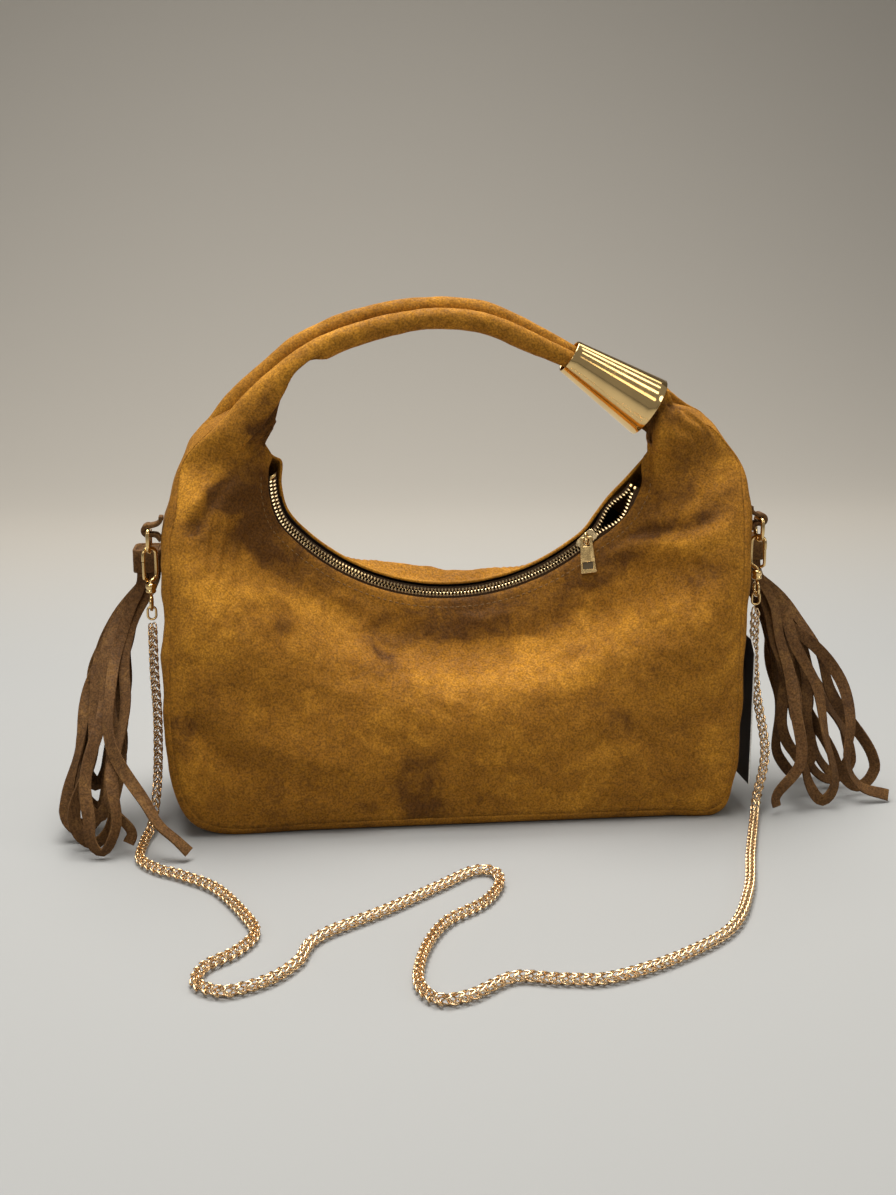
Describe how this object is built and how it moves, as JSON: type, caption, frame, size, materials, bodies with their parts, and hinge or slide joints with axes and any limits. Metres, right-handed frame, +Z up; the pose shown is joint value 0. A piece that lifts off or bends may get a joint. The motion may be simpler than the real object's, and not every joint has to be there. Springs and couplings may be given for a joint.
{
  "type": "fringed suede shoulder bag",
  "caption": "Slouchy suede shoulder bag with rolled loop handle, metal cone sleeve, curved zip, side tassels of looped thongs and a detachable chain strap.",
  "frame": {"origin": "on the floor, at the middle of the bag's flat base, front to back", "axes": "+X along the bag towards the end with the cone, -Y out of the front face, +Z up through the handle"},
  "size_m": [0.495, 0.3387, 0.3022],
  "materials": {
    "tan_suede": "ochre-tan suede with a blotchy brushed nap",
    "brown_suede": "darker brown suede strip, raw cut edges",
    "gold_metal": "polished pale champagne gold plating",
    "gold_chain": "light alloy wire, braided, pale champagne gold",
    "zip_tape": "dark brown woven zip tape",
    "black_card": "matt black card with a pale cut edge",
    "white_thread": "off-white twisted thread"
  },
  "bodies": {
    "bag": {"front_panel": "tan_suede", "back_panel": "tan_suede", "gusset_base": "tan_suede", "handle_cone": "gold_metal", "zip_teeth_front": "gold_metal", "zip_teeth_back": "gold_metal", "zip_tape_front": "zip_tape", "zip_tape_back": "zip_tape", "zip_stop_left": "gold_metal", "zip_stop_right_front": "gold_metal", "zip_stop_right_back": "gold_metal", "ring_tab_left": "brown_suede", "ring_tab_right": "brown_suede", "fringe_band_left": "brown_suede", "fringe_band_right": "brown_suede", "chain_strap": "gold_chain", "thong_left_01": "brown_suede", "thong_left_02": "brown_suede", "thong_left_03": "brown_suede", "thong_left_04": "brown_suede", "thong_left_05": "brown_suede", "thong_left_06": "brown_suede", "thong_left_07": "brown_suede", "thong_left_08": "brown_suede", "thong_left_09": "brown_suede", "thong_left_10": "brown_suede", "thong_right_01": "brown_suede", "thong_right_02": "brown_suede", "thong_right_03": "brown_suede", "thong_right_04": "brown_suede", "thong_right_05": "brown_suede", "thong_right_06": "brown_suede", "thong_right_07": "brown_suede", "thong_right_08": "brown_suede", "thong_right_09": "brown_suede", "thong_right_10": "brown_suede", "swing_tag": "black_card", "tag_string": "white_thread"},
    "slider": {"zip_slider": "gold_metal"},
    "pull": {"zip_pull": "gold_metal"},
    "left_ring": {"ring_left": "gold_metal", "hook_left": "gold_metal"},
    "right_ring": {"ring_right": "gold_metal", "hook_right": "gold_metal"},
    "left_gate": {"gate_left": "gold_metal"},
    "right_gate": {"gate_right": "gold_metal"},
    "left_swivel": {"swivel_eye_left": "gold_metal", "end_link_left": "gold_metal"},
    "right_swivel": {"swivel_eye_right": "gold_metal", "end_link_right": "gold_metal"}
  },
  "joints": [
    {"name": "zip_slide", "type": "hinge", "parent": "bag", "child": "slider", "pos_m": [-0.011, 0, 0.258], "axis": [0, -1, 0], "range_deg": [-85.5, 14.5]},
    {"name": "pull_flip", "type": "hinge", "parent": "slider", "child": "pull", "pos_m": [0.07162, -0.00209, 0.15953], "axis": [-0.9296, 0.3249, -0.1743], "range_deg": [0, 160]},
    {"name": "ring_swing_left", "type": "hinge", "parent": "bag", "child": "left_ring", "pos_m": [-0.1866, -0.016, 0.172], "axis": [0, 1, 0], "range_deg": [0, 75]},
    {"name": "ring_swing_right", "type": "hinge", "parent": "bag", "child": "right_ring", "pos_m": [0.17415, -0.016, 0.172], "axis": [0, -1, 0], "range_deg": [0, 75]},
    {"name": "gate_open_left", "type": "hinge", "parent": "left_ring", "child": "left_gate", "pos_m": [-0.18995, -0.01862, 0.1437], "axis": [-0.6157, 0.788, 0], "range_deg": [0, 18], "stiffness_Nm_per_rad": 0.01, "springref_deg": -11.46},
    {"name": "gate_open_right", "type": "hinge", "parent": "right_ring", "child": "right_gate", "pos_m": [0.1775, -0.01862, 0.1437], "axis": [-0.6157, -0.788, 0], "range_deg": [0, 18], "stiffness_Nm_per_rad": 0.01, "springref_deg": -11.46},
    {"name": "eye_turn_left", "type": "hinge", "parent": "left_ring", "child": "left_swivel", "pos_m": [-0.1866, -0.016, 0.1344], "axis": [0, 0, 1], "continuous": true},
    {"name": "eye_turn_right", "type": "hinge", "parent": "right_ring", "child": "right_swivel", "pos_m": [0.17415, -0.016, 0.1344], "axis": [0, 0, 1], "continuous": true}
  ]
}
